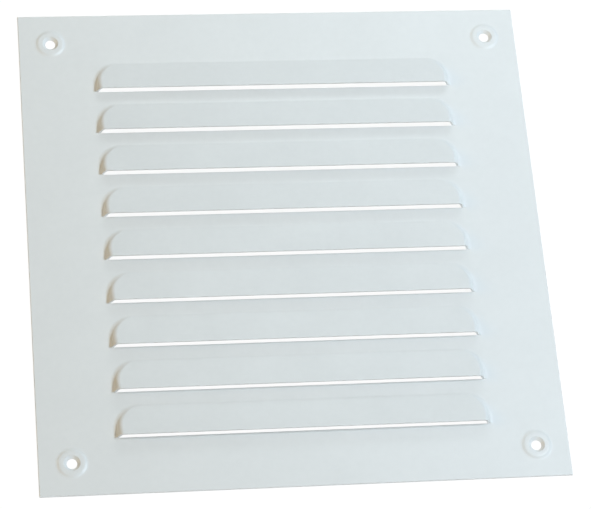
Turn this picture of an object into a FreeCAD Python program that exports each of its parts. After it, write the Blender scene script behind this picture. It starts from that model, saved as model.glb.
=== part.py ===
import FreeCAD, Part
import math
import os
import Sketcher

# A pressed ventilation grille: one square plate of thin painted sheet, with long louvres pushed out
# of it and a raised, countersunk ring round each corner screw hole.
# The plate lies on its back. The back face is on z = 0, the louvres rise along +Z with their mouths
# facing -Y, and the origin is at the middle of the back face.

document = FreeCAD.newDocument("ventilation_grille")

# Driving dimensions, in millimetres and degrees
sizes = document.addObject("Spreadsheet::Sheet", "sizes")
driving_dimensions = [
    ("plate_width", "200", "plate, side to side"),
    ("plate_height", "200", "plate, bottom to top"),
    ("sheet_thickness", "0.8", "sheet metal"),
    ("edge_round", "0.3", "rounding of the plate's front edge"),
    ("least_border", "18", "flat border kept above and below the louvres"),
    ("louvre_pitch", "18", "from one slit to the next"),
    ("louvre_side_margin", "29.4", "from the plate's side to the end of a louvre"),
    ("louvre_depth", "12.5", "from a slit up to the line where its louvre leaves the plate"),
    ("louvre_rise", "4", "height of a lip above the front face"),
    ("louvre_corner_radius", "11", "rounding of a louvre's two upper corners, seen from the front"),
    ("corner_overrun", "0.8", "how far those corners reach past the end of the roof"),
    ("end_wall_slope", "68", "slope of a louvre's end walls"),
    ("crest_radius", "1", "inside of the bend from an end wall to the top of a louvre"),
    ("foot_radius", "2", "bend from the front face up into a louvre"),
    ("hole_inset", "12.5", "from the plate's edges to a screw hole"),
    ("hole_diameter", "3.9", "screw hole"),
    ("hole_land", "0.15", "straight part of the hole below its seat"),
    ("seat_diameter", "6.4", "rim of the countersunk seat"),
    ("seat_angle", "90", "full angle of the seat"),
    ("ring_diameter", "12.6", "foot of the raised ring round the hole"),
    ("ring_crest_diameter", "8.4", "highest line of the ring"),
    ("ring_rise", "0.5", "height of the ring above the front face"),
    ("ring_easing", "0.3", "share of the ring's slope that is gentle at its foot, and at its crest"),
]
for row, (alias, value, meaning) in enumerate(driving_dimensions, start=1):
    sizes.set(f"A{row}", meaning)
    sizes.set(f"B{row}", value)
    sizes.setAlias(f"B{row}", alias)
document.recompute()

# Sizes that follow from the driving ones
louvre_count = "floor((sizes.plate_height - 2 * sizes.least_border) / sizes.louvre_pitch)"
field_height = f"({louvre_count} * sizes.louvre_pitch)"
half_louvre = "(sizes.plate_width / 2 - sizes.louvre_side_margin)"
field_width = f"(2 * {half_louvre} + 4 * sizes.foot_radius)"
lowest_slit = f"(-{field_height} / 2 + (sizes.louvre_pitch - sizes.louvre_depth) / 2)"
hole_across = "(sizes.plate_width / 2 - sizes.hole_inset)"
hole_up = "(sizes.plate_height / 2 - sizes.hole_inset)"

# A louvre's outside and its inside are two solid forms, one sheet thickness apart. Both have their root
# behind the plate, further down than their largest bend reaches.
outside_crest = "(sizes.crest_radius + sizes.sheet_thickness)"
root_depth = f"({outside_crest} + sizes.sheet_thickness)"
root_run = f"{root_depth} / tan(sizes.end_wall_slope)"
full_run = f"({root_depth} + sizes.louvre_rise) / tan(sizes.end_wall_slope)"
wall_inset = "(sizes.sheet_thickness * tan(sizes.end_wall_slope / 2))"
hinge_slope = "atan(sizes.louvre_rise / sizes.louvre_depth)"
hinge_inset = f"(sizes.sheet_thickness * tan({hinge_slope} / 2))"


def new_body(name):
    body = document.addObject("PartDesign::Body", name)
    body.Label = name
    return body


def point(x, y):
    return FreeCAD.Vector(x, y, 0)


def circle(x, y, radius):
    return Part.Circle(point(x, y), FreeCAD.Vector(0, 0, 1), radius)


def origin_plane(body, role):
    return next(item for item in body.Origin.OriginFeatures if item.Role == role)


def sketch_on(body, role, name):
    sketch = body.newObject("Sketcher::SketchObject", name)
    sketch.AttachmentSupport = [(origin_plane(body, role), "")]
    sketch.MapMode = "FlatFace"
    return sketch


def constrain(sketch, kind, *places):
    return sketch.addConstraint(Sketcher.Constraint(kind, *places))


def dimension(sketch, name, expression, kind, *places):
    # The last of the places is the size that the sketch is drawn at, before the sheet drives it
    sketch.renameConstraint(constrain(sketch, kind, *places), name)
    sketch.setExpression(f"Constraints.{name}", expression)


def add_polygon(sketch, corners):
    # A closed outline of straight lines; the number of its first line is returned
    first = sketch.GeometryCount
    count = len(corners)
    for number, start in enumerate(corners):
        end = corners[(number + 1) % count]
        sketch.addGeometry(Part.LineSegment(point(*start), point(*end)))
    for number in range(count):
        constrain(sketch, "Coincident", first + number, 2, first + (number + 1) % count, 1)
    return first


def add_rectangle(sketch, name, width, height):
    # A rectangle that is centred from side to side; its lower side is returned for placing it
    low = add_polygon(sketch, [(-10, -5), (10, -5), (10, 5), (-10, 5)])
    constrain(sketch, "Vertical", low + 1)
    constrain(sketch, "Vertical", low + 3)
    constrain(sketch, "Horizontal", low + 2)
    constrain(sketch, "Symmetric", low, 1, low, 2, -2)
    dimension(sketch, f"{name}_width", width, "DistanceX", low, 1, low, 2, 20)
    dimension(sketch, f"{name}_height", height, "DistanceY", low + 1, 1, low + 1, 2, 10)
    return low


def round_edges(body, name, base, edges, radius):
    rounding = body.newObject("PartDesign::Fillet", name)
    rounding.Base = (base, edges)
    rounding.setExpression("Radius", radius)
    document.recompute()
    return rounding


def plan_sketch(body, inset, depth_inset, sunk):
    # Outline of the louvre's root. Its upper corners are round, and it runs on below the slit, where
    # the side profile cuts it off.
    wide, tall, low, bend = 72.5, 15.0, -10.0, 11.0
    plan = sketch_on(body, "XY_Plane", f"{body.Name}_plan")
    corner_x, corner_y = wide - bend, tall - bend
    quarter = math.pi / 2
    bottom, right, right_corner, top, left_corner, left = (
        plan.addGeometry(piece)
        for piece in (
            Part.LineSegment(point(-wide, low), point(wide, low)),
            Part.LineSegment(point(wide, low), point(wide, corner_y)),
            Part.ArcOfCircle(circle(corner_x, corner_y, bend), 0, quarter),
            Part.LineSegment(point(corner_x, tall), point(-corner_x, tall)),
            Part.ArcOfCircle(circle(-corner_x, corner_y, bend), quarter, 2 * quarter),
            Part.LineSegment(point(-wide, corner_y), point(-wide, low)),
        )
    )
    constrain(plan, "Coincident", bottom, 2, right, 1)
    constrain(plan, "Tangent", right, 2, right_corner, 1)
    constrain(plan, "Tangent", right_corner, 2, top, 1)
    constrain(plan, "Tangent", top, 2, left_corner, 1)
    constrain(plan, "Tangent", left_corner, 2, left, 1)
    constrain(plan, "Coincident", left, 2, bottom, 1)
    constrain(plan, "Horizontal", top)
    constrain(plan, "Vertical", right)
    constrain(plan, "Vertical", left)
    constrain(plan, "Symmetric", bottom, 1, bottom, 2, -2)
    constrain(plan, "Equal", right_corner, left_corner)
    hinge = f"{lowest_slit} + sizes.louvre_depth - {depth_inset}"
    width = f"2 * ({half_louvre} - {inset} + {root_run})"
    upper = f"{hinge} + sizes.corner_overrun + {root_run}"
    corner = f"sizes.louvre_corner_radius - {inset} + {root_run}"
    dimension(plan, "width", width, "DistanceX", bottom, 1, bottom, 2, 2 * wide)
    dimension(plan, "low", f"{lowest_slit} - 2 * {full_run}", "DistanceY", -1, 1, bottom, 1, low)
    dimension(plan, "high", upper, "DistanceY", -1, 1, top, 1, tall)
    dimension(plan, "corner", corner, "Radius", right_corner, bend)
    plan.setExpression("AttachmentOffset.Base.z", f"sizes.sheet_thickness - {root_depth} - {sunk}")
    return plan


def side_sketch(body, depth_inset, sunk):
    # What is cut away seen from the side: all in front of the slit, and all above a roof that slopes
    # down from the lip to the root, through the line where it meets the face
    slit, depth, thickness, top, root, clear = 0.0, 12.5, 1.0, 5.0, -2.0, 10.0
    reach = slit + depth * (top - root) / (top - thickness)
    side = sketch_on(body, "YZ_Plane", f"{body.Name}_side")
    outline = [
        (slit, 0),
        (slit, top),
        (reach, root),
        (reach, top + clear),
        (-clear, top + clear),
        (-clear, 0),
    ]
    mouth, roof, back, sky, front, floor = range(len(outline))
    add_polygon(side, outline)
    hinge = side.addGeometry(Part.Point(point(slit + depth, thickness)), True)
    for upright in (mouth, back, front):
        constrain(side, "Vertical", upright)
    for level in (sky, floor):
        constrain(side, "Horizontal", level)
    constrain(side, "PointOnObject", mouth, 1, -1)
    constrain(side, "PointOnObject", hinge, 1, roof)
    level_top = "sizes.sheet_thickness + sizes.louvre_rise"
    dimension(side, "slit", lowest_slit, "DistanceX", -1, 1, mouth, 1, slit)
    dimension(side, "top", level_top, "DistanceY", mouth, 1, mouth, 2, top)
    dimension(side, "depth", f"sizes.louvre_depth - {depth_inset}", "DistanceX", mouth, 1, hinge, 1, depth)
    dimension(side, "face", "sizes.sheet_thickness", "DistanceY", -1, 1, hinge, 1, thickness)
    dimension(side, "root", f"{root_depth} - sizes.sheet_thickness", "DistanceY", roof, 2, -1, 1, -root)
    dimension(side, "in_front", f"3 * {full_run}", "DistanceX", floor, 1, floor, 2, clear)
    dimension(side, "above", level_top, "DistanceY", mouth, 2, back, 2, clear)
    side.setExpression("AttachmentOffset.Base.y", f"-{sunk}")
    return side


def crest_edges(shape):
    # The lines where the roof meets the sloping end walls and their round corners
    slopes = [face for face in shape.Faces if 0.1 < face.normalAt(0, 0).z < 0.999]
    roof = max(slopes, key=lambda face: face.Area)
    names = []
    for number, edge in enumerate(shape.Edges, start=1):
        on_roof = any(edge.isSame(side) for side in roof.Edges)
        if on_roof and edge.BoundBox.YLength > 0.01:
            names.append(f"Edge{number}")
    return names


def faces_towards(shape, up):
    # The faces that look up (1), down (-1) or sideways (0)
    return [
        f"Face{number}"
        for number, face in enumerate(shape.Faces, start=1)
        if abs(face.normalAt(0, 0).z - up) < 0.001
    ]


def louvre_form(name, inset, depth_inset, sunk, crest_radius):
    body = new_body(name)
    block = body.newObject("PartDesign::Pad", f"{name}_block")
    block.Profile = plan_sketch(body, inset, depth_inset, sunk)
    block.setExpression("Length", f"{root_depth} + sizes.louvre_rise")
    document.recompute()
    # The walls lean inwards from the root
    walls = body.newObject("PartDesign::Draft", f"{name}_walls")
    walls.Base = (block, faces_towards(block.Shape, 0))
    walls.NeutralPlane = (block, faces_towards(block.Shape, -1))
    walls.setExpression("Angle", "90 - sizes.end_wall_slope")
    document.recompute()
    roof = body.newObject("PartDesign::Pocket", f"{name}_roof")
    roof.Profile = side_sketch(body, depth_inset, sunk)
    roof.Type = "ThroughAll"
    roof.Midplane = True
    document.recompute()
    round_edges(body, f"{name}_crest", roof, crest_edges(roof.Shape), crest_radius)
    return body


# The two forms of the lowest louvre
outside_form = louvre_form("outside_form", "0", "0", "0", outside_crest)
inside_form = louvre_form(
    "inside_form", wall_inset, hinge_inset, "sizes.sheet_thickness", "sizes.crest_radius"
)

# Flat strip that carries one louvre, the lowest
plate = new_body("louvre_plate")
strip_outline = sketch_on(plate, "XY_Plane", "strip_outline")
strip_low = add_rectangle(strip_outline, "strip", field_width, "sizes.louvre_pitch")
dimension(strip_outline, "strip_low", f"-{field_height} / 2", "DistanceY", -1, 1, strip_low, 1, -5)
strip = plate.newObject("PartDesign::Pad", "strip")
strip.Profile = strip_outline
strip.setExpression("Length", "sizes.sheet_thickness")
document.recompute()

# The outside form is added to the strip and the inside form is taken out from behind. That leaves a
# wall of even thickness and opens the mouth.
raised = plate.newObject("PartDesign::Boolean", "raised")
raised.Type = "Fuse"
raised.setObjects([outside_form])
document.recompute()
hollowed = plate.newObject("PartDesign::Boolean", "hollowed")
hollowed.Type = "Cut"
hollowed.setObjects([inside_form])
document.recompute()

# The outside form's root is cut off level with the plate's back
back_outline = sketch_on(plate, "XY_Plane", "back_outline")
root_low = add_rectangle(back_outline, "root", field_width, "3 * sizes.louvre_pitch")
below_strip = f"-{field_height} / 2 - sizes.louvre_pitch"
dimension(back_outline, "root_low", below_strip, "DistanceY", -1, 1, root_low, 1, -5)
flat_back = plate.newObject("PartDesign::Pocket", "flat_back")
flat_back.Profile = back_outline
flat_back.setExpression("Length", root_depth)
document.recompute()


def foot_edges(shape):
    # The edges where the louvre leaves the front face, all but the slit
    slit = plate.evalExpression(lowest_slit)
    hinge = slit + sizes.louvre_depth
    names = []
    for number, edge in enumerate(shape.Edges, start=1):
        ends = edge.BoundBox
        in_front = abs(ends.ZMin - sizes.sheet_thickness) < 0.001 and ends.ZLength < 0.001
        if in_front and slit - 0.001 < ends.YMin and slit + 0.001 < ends.YMax < hinge + 0.001:
            names.append(f"Edge{number}")
    return names


round_edges(plate, "foot", flat_back, foot_edges(flat_back.Shape), "sizes.foot_radius")

# The strip repeats upwards, each copy joined to the last
louvre_row = plate.newObject("PartDesign::LinearPattern", "louvre_row")
louvre_row.TransformMode = "Whole shape"
louvre_row.Direction = (strip_outline, ["V_Axis"])
louvre_row.Mode = "Spacing"
louvre_row.setExpression("Offset", "sizes.louvre_pitch")
louvre_row.setExpression("Occurrences", louvre_count)
plate.Tip = louvre_row
document.recompute()

# Flat border round the louvres
border_outline = sketch_on(plate, "XY_Plane", "border_outline")
window_low = add_rectangle(border_outline, "window", field_width, field_height)
dimension(border_outline, "window_low", f"-{field_height} / 2", "DistanceY", -1, 1, window_low, 1, -5)
plate_low = add_rectangle(border_outline, "plate", "sizes.plate_width", "sizes.plate_height")
dimension(border_outline, "plate_low", "-sizes.plate_height / 2", "DistanceY", -1, 1, plate_low, 1, -5)
border = plate.newObject("PartDesign::Pad", "border")
border.Profile = border_outline
border.setExpression("Length", "sizes.sheet_thickness")
document.recompute()


def hole_sketch(name):
    # An upright sketch whose vertical axis is that of the lower left screw hole
    sketch = sketch_on(plate, "XZ_Plane", name)
    sketch.setExpression("AttachmentOffset.Base.x", f"-{hole_across}")
    sketch.setExpression("AttachmentOffset.Base.z", hole_up)
    return sketch


def revolve(kind, name, sketch):
    feature = plate.newObject(kind, name)
    feature.Profile = sketch
    feature.ReferenceAxis = (sketch, ["V_Axis"])
    feature.Angle = 360
    document.recompute()
    return feature


# Raised ring round a screw hole. Its slope is gentle at the foot and at the crest, and steeper
# between. It has a thick middle at first, which the hole and its seat are cut from.
ring_profile = hole_sketch("ring_profile")
base, side, foot_band, slope, crest_band, top, axis = range(7)
add_polygon(
    ring_profile, [(0, 0), (6.3, 0), (6.3, 1), (5.6, 1.1), (4.9, 1.4), (4.2, 1.5), (0, 1.5)]
)
constrain(ring_profile, "Coincident", base, 1, -1, 1)
constrain(ring_profile, "Horizontal", base)
constrain(ring_profile, "Horizontal", top)
constrain(ring_profile, "Vertical", side)
constrain(ring_profile, "Vertical", axis)
constrain(ring_profile, "Parallel", foot_band, crest_band)
constrain(ring_profile, "Equal", foot_band, crest_band)
ring_radius = "sizes.ring_diameter / 2"
crest_reach = "sizes.ring_crest_diameter / 2"
ring_top = "sizes.sheet_thickness + sizes.ring_rise"
band_width = f"({ring_radius} - {crest_reach}) * sizes.ring_easing"
band_rise = "sizes.ring_rise * sizes.ring_easing / 2"
dimension(ring_profile, "foot", ring_radius, "DistanceX", base, 1, base, 2, 6.3)
dimension(ring_profile, "face", "sizes.sheet_thickness", "DistanceY", side, 1, side, 2, 1)
dimension(ring_profile, "band_width", band_width, "DistanceX", foot_band, 2, foot_band, 1, 0.7)
dimension(ring_profile, "band_rise", band_rise, "DistanceY", foot_band, 1, foot_band, 2, 0.1)
dimension(ring_profile, "crest", crest_reach, "DistanceX", top, 2, top, 1, 4.2)
dimension(ring_profile, "height", ring_top, "DistanceY", axis, 2, axis, 1, 1.5)
ring = revolve("PartDesign::Revolution", "ring", ring_profile)

# Hole and seat: a short straight hole, the countersink for a flat screw head, and a shallow dish
# that leads from the ring's crest down to it
seat_profile = hole_sketch("seat_profile")
floor, bore, cone, dish, rim, sky, axis = range(7)
add_polygon(
    seat_profile, [(0, -1), (1.9, -1), (1.9, 0.1), (3.2, 1.4), (4.2, 1.5), (4.2, 2), (0, 2)]
)
for level in (floor, sky):
    constrain(seat_profile, "Horizontal", level)
for upright in (bore, rim, axis):
    constrain(seat_profile, "Vertical", upright)
constrain(seat_profile, "PointOnObject", floor, 1, -2)
seat_radius = "sizes.seat_diameter / 2"
dimension(seat_profile, "below", "sizes.sheet_thickness", "DistanceY", floor, 1, -1, 1, 1)
dimension(seat_profile, "bore", "sizes.hole_diameter / 2", "DistanceX", floor, 1, floor, 2, 1.9)
dimension(seat_profile, "land", "sizes.hole_land", "DistanceY", -1, 1, bore, 2, 0.1)
dimension(seat_profile, "seat", seat_radius, "DistanceX", -1, 1, cone, 2, 3.2)
dimension(seat_profile, "slope", "90 - sizes.seat_angle / 2", "Angle", cone, math.pi / 4)
dimension(seat_profile, "crest", crest_reach, "DistanceX", -1, 1, dish, 2, 4.2)
dimension(seat_profile, "height", ring_top, "DistanceY", -1, 1, dish, 2, 1.5)
dimension(seat_profile, "above", "sizes.ring_rise", "DistanceY", rim, 1, rim, 2, 0.5)
seat = revolve("PartDesign::Groove", "seat", seat_profile)

# The same ring and seat at all four corners
corners = document.addObject("PartDesign::MultiTransform", "corners")
mirrors = []
for role, name in (("YZ_Plane", "side_to_side"), ("XZ_Plane", "bottom_to_top")):
    mirror = document.addObject("PartDesign::Mirrored", name)
    mirror.MirrorPlane = (origin_plane(plate, role), [""])
    mirrors.append(mirror)
corners.Transformations = mirrors
corners.Originals = [ring, seat]
plate.addObject(corners)
plate.Tip = corners
document.recompute()


def front_edges(shape):
    # The four edges round the front face
    half_width, half_height = sizes.plate_width / 2, sizes.plate_height / 2
    names = []
    for number, edge in enumerate(shape.Edges, start=1):
        ends = edge.BoundBox
        middle = edge.CenterOfMass
        on_side = abs(abs(middle.x) - half_width) < 0.001 or abs(abs(middle.y) - half_height) < 0.001
        if on_side and abs(ends.ZMin - sizes.sheet_thickness) < 0.001 and ends.ZLength < 0.001:
            names.append(f"Edge{number}")
    return names


round_edges(plate, "rounded_front", corners, front_edges(corners.Shape), "sizes.edge_round")

# Every object has to be sound before anything is written
for item in document.Objects:
    if "Invalid" in item.State or "Error" in item.State:
        raise RuntimeError(f"{item.Name} failed: {item.State}")
    if item.isDerivedFrom("Sketcher::SketchObject") and not item.FullyConstrained:
        raise RuntimeError(f"{item.Name} is not fully constrained")
if plate.Shape.isNull() or not plate.Shape.isValid() or len(plate.Shape.Solids) != 1:
    raise RuntimeError("the louvred plate is not one sound solid")

os.makedirs("parts", exist_ok=True)
plate.Shape.exportStep(f"parts/{plate.Label}.step")
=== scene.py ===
import bpy
from mathutils import Matrix, Vector


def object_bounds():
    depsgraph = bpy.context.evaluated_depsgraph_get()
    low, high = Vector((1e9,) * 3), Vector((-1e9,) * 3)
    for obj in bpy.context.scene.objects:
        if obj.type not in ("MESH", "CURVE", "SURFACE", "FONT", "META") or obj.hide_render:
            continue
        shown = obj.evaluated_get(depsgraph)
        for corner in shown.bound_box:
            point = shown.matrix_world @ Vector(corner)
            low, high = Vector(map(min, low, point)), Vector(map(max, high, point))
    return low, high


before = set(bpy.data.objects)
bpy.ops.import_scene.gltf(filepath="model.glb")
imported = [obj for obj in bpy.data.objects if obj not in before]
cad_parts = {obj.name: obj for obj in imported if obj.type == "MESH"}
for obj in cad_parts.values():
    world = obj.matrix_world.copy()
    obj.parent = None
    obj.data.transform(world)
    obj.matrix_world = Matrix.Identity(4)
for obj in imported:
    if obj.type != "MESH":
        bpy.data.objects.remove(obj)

cad_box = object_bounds()

# The grille itself: one square of thin aluminium sheet. A press cuts nine slits in it and pushes the
# metal above each slit forward into a louvre, and forms the raised rings round the screw holes.
# Then the whole plate gets one coat of satin white powder paint.


def add_input(group, name, kind, value=None):
    socket = group.interface.new_socket(name=name, in_out="INPUT", socket_type=kind)
    if value is not None:
        socket.default_value = value


def add_output(group, name, kind):
    group.interface.new_socket(name=name, in_out="OUTPUT", socket_type=kind)


def node(tree, kind, **settings):
    made = tree.nodes.new(kind)
    for name, value in settings.items():
        setattr(made, name, value)
    return made


def feed(tree, value, socket):
    # A number or colour is set on the socket, and another node's output is linked to it
    if isinstance(value, bpy.types.NodeSocket):
        tree.links.new(value, socket)
    else:
        socket.default_value = value


def math_node(tree, operation, *values):
    made = node(tree, "ShaderNodeMath", operation=operation)
    for socket, value in zip(made.inputs, values):
        feed(tree, value, socket)
    return made.outputs[0]


def noise(tree, where, scale, detail, roughness):
    made = node(tree, "ShaderNodeTexNoise")
    feed(tree, where, made.inputs["Vector"])
    feed(tree, scale, made.inputs["Scale"])
    made.inputs["Detail"].default_value = detail
    made.inputs["Roughness"].default_value = roughness
    return made.outputs["Fac"]


# Powder paint draws back a little from the cut edges as it melts: the plate's outside and the rims of
# the screw holes. The mask is 1 at the edge and 0 where the coat is full. Its sizes are in metres.
edge_pull = bpy.data.node_groups.new("edge_pull", "ShaderNodeTree")
add_input(edge_pull, "Half Plate", "NodeSocketFloat", 0.1)
add_input(edge_pull, "Hole Place", "NodeSocketFloat", 0.0875)
add_input(edge_pull, "Hole Radius", "NodeSocketFloat", 0.00195)
add_input(edge_pull, "Reach", "NodeSocketFloat", 0.0005)
add_output(edge_pull, "Mask", "NodeSocketFloat")
inside = node(edge_pull, "NodeGroupInput").outputs
place = node(edge_pull, "ShaderNodeTexCoord").outputs["Object"]
apart = node(edge_pull, "ShaderNodeSeparateXYZ")
feed(edge_pull, place, apart.inputs[0])
across = math_node(edge_pull, "ABSOLUTE", apart.outputs["X"])
along = math_node(edge_pull, "ABSOLUTE", apart.outputs["Y"])
outermost = math_node(edge_pull, "MAXIMUM", across, along)
from_outside = math_node(edge_pull, "SUBTRACT", inside["Half Plate"], outermost)
from_centre = node(edge_pull, "ShaderNodeCombineXYZ")
feed(edge_pull, math_node(edge_pull, "SUBTRACT", across, inside["Hole Place"]), from_centre.inputs["X"])
feed(edge_pull, math_node(edge_pull, "SUBTRACT", along, inside["Hole Place"]), from_centre.inputs["Y"])
radius = node(edge_pull, "ShaderNodeVectorMath", operation="LENGTH")
feed(edge_pull, from_centre.outputs[0], radius.inputs[0])
from_rim = math_node(edge_pull, "SUBTRACT", radius.outputs["Value"], inside["Hole Radius"])
nearest = math_node(edge_pull, "MINIMUM", from_outside, from_rim)
closeness = node(edge_pull, "ShaderNodeMapRange", clamp=True)
feed(edge_pull, nearest, closeness.inputs["Value"])
feed(edge_pull, inside["Reach"], closeness.inputs["From Max"])
closeness.inputs["To Min"].default_value = 1.0
closeness.inputs["To Max"].default_value = 0.0
beads = noise(edge_pull, place, scale=260.0, detail=2.0, roughness=0.6)
beads = math_node(edge_pull, "MULTIPLY", beads, 1.6)
pull = math_node(edge_pull, "MULTIPLY", closeness.outputs["Result"], beads)
results = node(edge_pull, "NodeGroupOutput").inputs
feed(edge_pull, math_node(edge_pull, "MINIMUM", pull, 1.0), results["Mask"])

# The coat itself: powder paint flows into a faint orange peel and is never quite even in thickness,
# so the sheet shows through as slow, weak changes of tone
powder_coat = bpy.data.node_groups.new("powder_coat", "ShaderNodeTree")
add_input(powder_coat, "Paint", "NodeSocketColor")
add_input(powder_coat, "Thin Paint", "NodeSocketColor")
add_input(powder_coat, "Edge Tone", "NodeSocketColor")
add_input(powder_coat, "Edge", "NodeSocketFloat", 0.0)
add_input(powder_coat, "Unevenness", "NodeSocketFloat", 0.5)
add_input(powder_coat, "Gloss Roughness", "NodeSocketFloat", 0.4)
add_output(powder_coat, "Color", "NodeSocketColor")
add_output(powder_coat, "Roughness", "NodeSocketFloat")
add_output(powder_coat, "Height", "NodeSocketFloat")
inside = node(powder_coat, "NodeGroupInput").outputs
place = node(powder_coat, "ShaderNodeTexCoord").outputs["Object"]
slow = noise(powder_coat, place, scale=38.0, detail=3.0, roughness=0.6)
fine = noise(powder_coat, place, scale=420.0, detail=2.0, roughness=0.5)
peel = noise(powder_coat, place, scale=900.0, detail=1.0, roughness=0.4)
fine_share = math_node(powder_coat, "MULTIPLY", fine, 0.35)
patches = math_node(powder_coat, "MULTIPLY_ADD", slow, 0.65, fine_share)
spread = node(powder_coat, "ShaderNodeMapRange", clamp=True)
feed(powder_coat, patches, spread.inputs["Value"])
spread.inputs["From Min"].default_value = 0.34
spread.inputs["From Max"].default_value = 0.66
uneven = spread.outputs["Result"]
thin = math_node(powder_coat, "MULTIPLY", uneven, inside["Unevenness"])
tone = node(powder_coat, "ShaderNodeMix", data_type="RGBA")
feed(powder_coat, thin, tone.inputs["Factor"])
feed(powder_coat, inside["Paint"], tone.inputs["A"])
feed(powder_coat, inside["Thin Paint"], tone.inputs["B"])
edged = node(powder_coat, "ShaderNodeMix", data_type="RGBA")
feed(powder_coat, inside["Edge"], edged.inputs["Factor"])
feed(powder_coat, tone.outputs["Result"], edged.inputs["A"])
feed(powder_coat, inside["Edge Tone"], edged.inputs["B"])
gloss = math_node(powder_coat, "MULTIPLY_ADD", uneven, 0.08, inside["Gloss Roughness"])
gloss = math_node(powder_coat, "MULTIPLY_ADD", inside["Edge"], -0.08, gloss)
fine_relief = math_node(powder_coat, "MULTIPLY", fine, 0.3)
height = math_node(powder_coat, "MULTIPLY_ADD", peel, 0.7, fine_relief)
height = math_node(powder_coat, "MULTIPLY_ADD", inside["Edge"], -0.5, height)
results = node(powder_coat, "NodeGroupOutput").inputs
feed(powder_coat, edged.outputs["Result"], results["Color"])
feed(powder_coat, gloss, results["Roughness"])
feed(powder_coat, height, results["Height"])

# The paint on this grille: satin white, a little greyer where it is thin
satin_white = bpy.data.materials.new("satin_white")
satin_white.use_nodes = True
tree = satin_white.node_tree
paint = tree.nodes["Principled BSDF"]
edges = node(tree, "ShaderNodeGroup", node_tree=edge_pull)
coat = node(tree, "ShaderNodeGroup", node_tree=powder_coat)
feed(tree, edges.outputs["Mask"], coat.inputs["Edge"])
coat.inputs["Paint"].default_value = (0.80, 0.81, 0.80, 1)
coat.inputs["Thin Paint"].default_value = (0.755, 0.765, 0.755, 1)
coat.inputs["Edge Tone"].default_value = (0.78, 0.787, 0.777, 1)
coat.inputs["Unevenness"].default_value = 0.6
coat.inputs["Gloss Roughness"].default_value = 0.38
feed(tree, coat.outputs["Color"], paint.inputs["Base Color"])
feed(tree, coat.outputs["Roughness"], paint.inputs["Roughness"])
bump = node(tree, "ShaderNodeBump")
bump.inputs["Strength"].default_value = 0.25
bump.inputs["Distance"].default_value = 0.00004
feed(tree, coat.outputs["Height"], bump.inputs["Height"])
feed(tree, bump.outputs["Normal"], paint.inputs["Normal"])
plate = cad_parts["louvre_plate"]
plate.material_slots[0].material = satin_white

# The table it lies on: a wide matt white sheet, which the camera sees as plain white and which keeps
# the grille's soft shadow


def seen_directly(tree):
    # 1 for what the camera sees, also in a gloss or through glass, and 0 for what only lights things
    seen = node(tree, "ShaderNodeLightPath").outputs
    direct = math_node(tree, "MAXIMUM", seen["Is Camera Ray"], seen["Is Glossy Ray"])
    return math_node(tree, "MAXIMUM", direct, seen["Is Transmission Ray"])


reach = 3.0
gap_under_plate = 0.0002
floor_mesh = bpy.data.meshes.new("white_table")
floor_mesh.from_pydata(
    [(-reach, -reach, 0), (reach, -reach, 0), (reach, reach, 0), (-reach, reach, 0)], [], [(0, 1, 2, 3)]
)
white_table = bpy.data.objects.new("white_table", floor_mesh)
white_table.location.z = cad_box[0][2] - gap_under_plate
bpy.context.scene.collection.objects.link(white_table)
matt_white = bpy.data.materials.new("matt_white")
matt_white.use_nodes = True
tree = matt_white.node_tree
tree.nodes.remove(tree.nodes["Principled BSDF"])
direct = seen_directly(tree)
matt = node(tree, "ShaderNodeBsdfDiffuse")
shade = node(tree, "ShaderNodeMix", data_type="RGBA")
feed(tree, direct, shade.inputs["Factor"])
# A is what the table throws back on the grille, and B takes the shadow where the camera sees the glow
shade.inputs["A"].default_value = (0.75, 0.75, 0.75, 1)
shade.inputs["B"].default_value = (0.09, 0.09, 0.09, 1)
feed(tree, shade.outputs["Result"], matt.inputs["Color"])
glow = node(tree, "ShaderNodeEmission")
feed(tree, math_node(tree, "MULTIPLY", direct, 0.96), glow.inputs["Strength"])
both = node(tree, "ShaderNodeAddShader")
feed(tree, matt.outputs[0], both.inputs[0])
feed(tree, glow.outputs[0], both.inputs[1])
feed(tree, both.outputs[0], tree.nodes["Material Output"].inputs["Surface"])
white_table.data.materials.append(matt_white)

# The light: a cool window lamp high on the right, and three soft reflectors that stand round the
# table, the left one warm. The room itself is dim, and the camera sees it as plain white.


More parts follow.
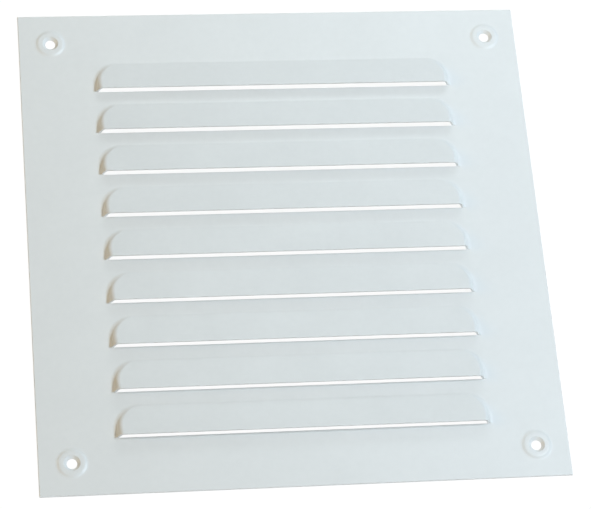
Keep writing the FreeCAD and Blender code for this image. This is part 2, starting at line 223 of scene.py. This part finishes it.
def soft_lamp(name, place, width, depth, watts, colour):
    lamp = bpy.data.lights.new(name, "AREA")
    lamp.shape = "RECTANGLE"
    lamp.size = width
    lamp.size_y = depth
    lamp.energy = watts
    lamp.color = colour
    stand = bpy.data.objects.new(name, lamp)
    stand.location = place
    to_grille = -Vector(place)
    stand.rotation_euler = to_grille.to_track_quat("-Z", "Y").to_euler()
    stand.visible_camera = False
    bpy.context.scene.collection.objects.link(stand)


soft_lamp("window_lamp", (0.55, -0.04, 0.90), 0.31, 0.08, 7.45, (0.765, 0.885, 1.0))
soft_lamp("left_reflector", (-1.08, 0.0, 0.52), 0.4, 0.4, 2.6, (1.0, 0.53, 0.0))
soft_lamp("near_reflector", (0.0, -1.69, 0.63), 1.0, 0.12, 6.0, (1.0, 1.0, 1.0))
soft_lamp("far_reflector", (0.09, 0.35, 0.28), 0.32, 0.11, 0.35, (0.87, 0.96, 1.0))

room = bpy.data.worlds.new("room")
room.use_nodes = True
tree = room.node_tree
direct = seen_directly(tree)
hue = node(tree, "ShaderNodeMix", data_type="RGBA")
feed(tree, direct, hue.inputs["Factor"])
hue.inputs["A"].default_value = (0.190, 0.209, 0.205, 1)
hue.inputs["B"].default_value = (1, 1, 1, 1)
feed(tree, hue.outputs["Result"], tree.nodes["Background"].inputs["Color"])
bpy.context.scene.world = room

# The camera: a long lens above the grille's lower left, rolled as in the photograph. The matrix holds
# its directions to the right, upwards and backwards, one in each column.
camera = bpy.data.objects.new("camera", bpy.data.cameras.new("camera"))
camera.data.sensor_width = 36.0
camera.data.lens = 154.5
camera.data.clip_start = 0.05
camera.matrix_world = Matrix.Translation((-0.13764, -0.39570, 0.88610)) @ Matrix(
    (
        (0.98926, 0.02871, -0.14333, 0),
        (-0.08424, 0.91330, -0.39848, 0),
        (0.11946, 0.40627, 0.90591, 0),
        (0, 0, 0, 1),
    )
)
bpy.context.scene.collection.objects.link(camera)
bpy.context.scene.camera = camera

bpy.context.scene.view_settings.view_transform = "Standard"
